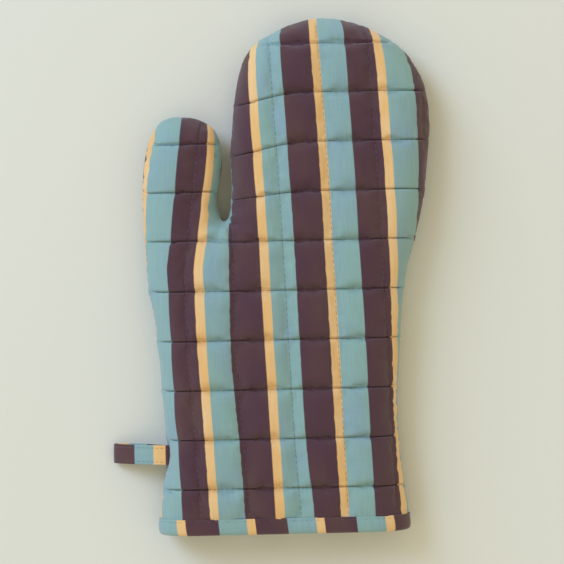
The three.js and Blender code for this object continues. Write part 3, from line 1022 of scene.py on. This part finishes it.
def dress(pieces, material, body=None):
    for piece in pieces:
        piece.data.materials.append(material)
        if body:
            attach(piece, body)


def build_mitt():
    outer_cloth = striped("striped_cotton", *OUTER_STRIPES)
    binding_cloth = striped("binding_cotton", *BINDING_STRIPES, lean=BINDING_LEAN)
    loop_cloth = striped("loop_cotton", *LOOP_STRIPES)
    lining_cloth = plain_cotton("lining_cotton", LINING_COLOUR)
    fluff = fibres("wadding_fibres", WADDING_COLOUR)
    quilting_thread = thread("quilting_thread", THREAD_COLOUR)
    seam_thread = thread("seam_thread", SEAM_THREAD_COLOUR)
    fine, coarse = Pattern(CELLS), Pattern(CELLS // 2)
    for side, place in ((1, "front"), (-1, "back")):
        points, faces, cloth = outer_surface(fine, side)
        normals = vertex_normals(points, faces)
        cover = hand_and_thumb(f"{place}_cover", points, points - normals * CLOTH, normals, faces, cloth)
        dress(cover, outer_cloth)
        fill = wadding(fine, side, place, points, normals)
        dress(fill, fluff)
        inside_cloth = lining(coarse, side, place)
        dress(inside_cloth, lining_cloth)
        lines = [(points[ids], normals[ids]) for ids in fine.quilting_lines()]
        lines = [(p[p[:, 1] > BOUND], n[p[:, 1] > BOUND]) for p, n in lines]
        quilting = stitched_parts(f"{place}_quilting", lines)
        dress(quilting, quilting_thread)
        for pair, layer in ((cover, "outer"), (fill, "wadding"), (inside_cloth, "lining"),
                            (quilting, "quilting")):
            bends(pair)
            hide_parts(f"{layer}_{place}_palm", f"{layer}_{place}_fingers")
            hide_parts(f"{layer}_{place}_thumb")
    sew_side_seam(seam_thread)
    bind_cuff(binding_cloth, quilting_thread)
    hang_loop(loop_cloth, quilting_thread)


def wadding(pattern, side, place, cover, normals):
    """The filling between the cover and the lining."""
    inner = pattern.surface(side, squeezed(WADDING[1], pattern.xy[:, 1]), FOLD)
    count = len(inner)
    outer = cover[:count] - normals[:count] * WADDING[0]
    outer[:, 2] = SEAM_HEIGHT + side * np.maximum(side * (outer[:, 2] - SEAM_HEIGHT), FOLD)
    thick = np.maximum(WADDING_LEAST, side * (outer[:, 2] - inner[:, 2]))
    level = pattern.distance > EDGE_ROUND / 2
    inner[level, 2] = (outer[:, 2] - side * thick)[level]
    faces = pattern.faces_of(side)
    shading = vertex_normals(outer, faces)
    cloth = np.column_stack([pattern.u, pattern.v])
    return hand_and_thumb(f"{place}_wadding", outer, inner, shading, faces, cloth)


def lining(pattern, side, place):
    """The inner cloth, a little creased."""
    outer = pattern.surface(side, squeezed(LINING, pattern.xy[:, 1]), LINING_GAP)
    faces = pattern.faces_of(side)
    normals = vertex_normals(outer, faces)
    stretched = pattern.xy * LINING_CREASE_STRETCH + SIDE_APART * side
    creases = np.maximum(0, noise_over(stretched, LINING_CREASE_SIZE)) * LINING_CREASE
    creases *= smooth(2, 14, pattern.distance)
    outer = outer - normals * (creases * smooth(BOUND, 40, pattern.xy[:, 1]))[:, None]
    normals = vertex_normals(outer, faces)
    return hand_and_thumb(f"{place}_lining", outer, outer - normals * CLOTH, normals, faces, pattern.xy)


def sew_side_seam(material):
    """Two lines of stitches on the seam allowance, one on each side of it."""
    edge = EDGE[EDGE[:, 1] > BOUND]
    distance = np.zeros(len(edge))
    way = inward_of(edge)
    lines = []
    for side in (-1, 1):
        middle = panel_points(side, edge, distance, way, 0.0)
        middle[:, :2] += way * SEAM_STITCH_INSET
        middle[:, 2] += side * (CLOTH + SEAM_STITCH_LIFT + loop_opening(edge))
        lines.append((middle, np.tile([0.0, 0.0, float(side)], (len(edge), 1))))
    pieces = stitched_parts("side_seam", lines)
    dress(pieces, material)
    bends(pieces)
    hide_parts(*[f"seam_thread_{place}" for place in ("left", "crotch", "right", "fingers")])
    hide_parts("seam_thread_thumb")


def bind_cuff(cloth, thread_material):
    tape, sewing = binding(), binding_stitches()
    dress([tape], cloth, "palm")
    dress([sewing], thread_material, "palm")
    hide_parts("cuff_binding")
    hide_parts("cuff_binding_stitching")


def hang_loop(cloth, thread_material):
    tape, sewing = loop_tape(), loop_stitches()
    dress([tape], cloth)
    dress([sewing], thread_material)
    for piece in (tape, sewing):
        blend_loop(piece)
    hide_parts("hanging_loop")


# ---- room ----

TOP_HALF = 3
TOP_CORNERS = ((-1, -1), (1, -1), (1, 1), (-1, 1))
AMBIENT = (255, 247, 220)
AMBIENT_STRENGTH = 0.85
LIT_MIDDLE = (0, 160, 0)
KEY_BEARING = math.radians(139)  # from +X round to +Y
KEY_ELEVATION = math.radians(34)
KEY_DISTANCE = 3.2
KEY_SIZE = (1.4, 2.4)
KEY_POWER = 87.0
KEY_COLOUR = (178, 209, 255)

CAMERA_HEIGHT = 1.3
VIEW_MIDDLE = (1.7, 159.7, 17.0)
VIEW_WIDTH = 361.0
VIEW_ROLL = math.radians(1.3)


def build_room():
    top = new_object("table", [(x * TOP_HALF, y * TOP_HALF, 0) for x, y in TOP_CORNERS], [(0, 1, 2, 3)])
    top.data.materials.append(table_top())

    world = bpy.data.worlds.new("room")
    world.use_nodes = True
    world.node_tree.nodes["Background"].inputs["Color"].default_value = srgb(*AMBIENT)
    world.node_tree.nodes["Background"].inputs["Strength"].default_value = AMBIENT_STRENGTH
    bpy.context.scene.world = world
    middle = Vector(placed(LIT_MIDDLE))
    level = math.cos(KEY_ELEVATION)
    way = Vector((math.cos(KEY_BEARING) * level, math.sin(KEY_BEARING) * level, math.sin(KEY_ELEVATION)))
    lamp = bpy.data.lights.new("window", "AREA")
    lamp.shape = "RECTANGLE"
    lamp.size, lamp.size_y = KEY_SIZE
    lamp.energy = KEY_POWER
    lamp.color = srgb(*KEY_COLOUR)[:3]
    window = bpy.data.objects.new("window", lamp)
    window.location = middle + way * KEY_DISTANCE
    window.rotation_mode = "QUATERNION"
    window.rotation_quaternion = way.to_track_quat("Z", "Y")
    bpy.context.collection.objects.link(window)


def set_camera():
    camera = bpy.data.cameras.new("camera")
    camera.sensor_width = 36.0
    camera.lens = camera.sensor_width * CAMERA_HEIGHT / (VIEW_WIDTH * MM)
    eye = bpy.data.objects.new("camera", camera)
    eye.location = Vector(placed(VIEW_MIDDLE)) + Vector((0, 0, CAMERA_HEIGHT))
    eye.rotation_euler = (0, 0, -VIEW_ROLL)
    bpy.context.collection.objects.link(eye)
    bpy.context.scene.camera = eye
    bpy.context.scene.view_settings.view_transform = "Standard"


set_camera()
build_room()
build_mitt()
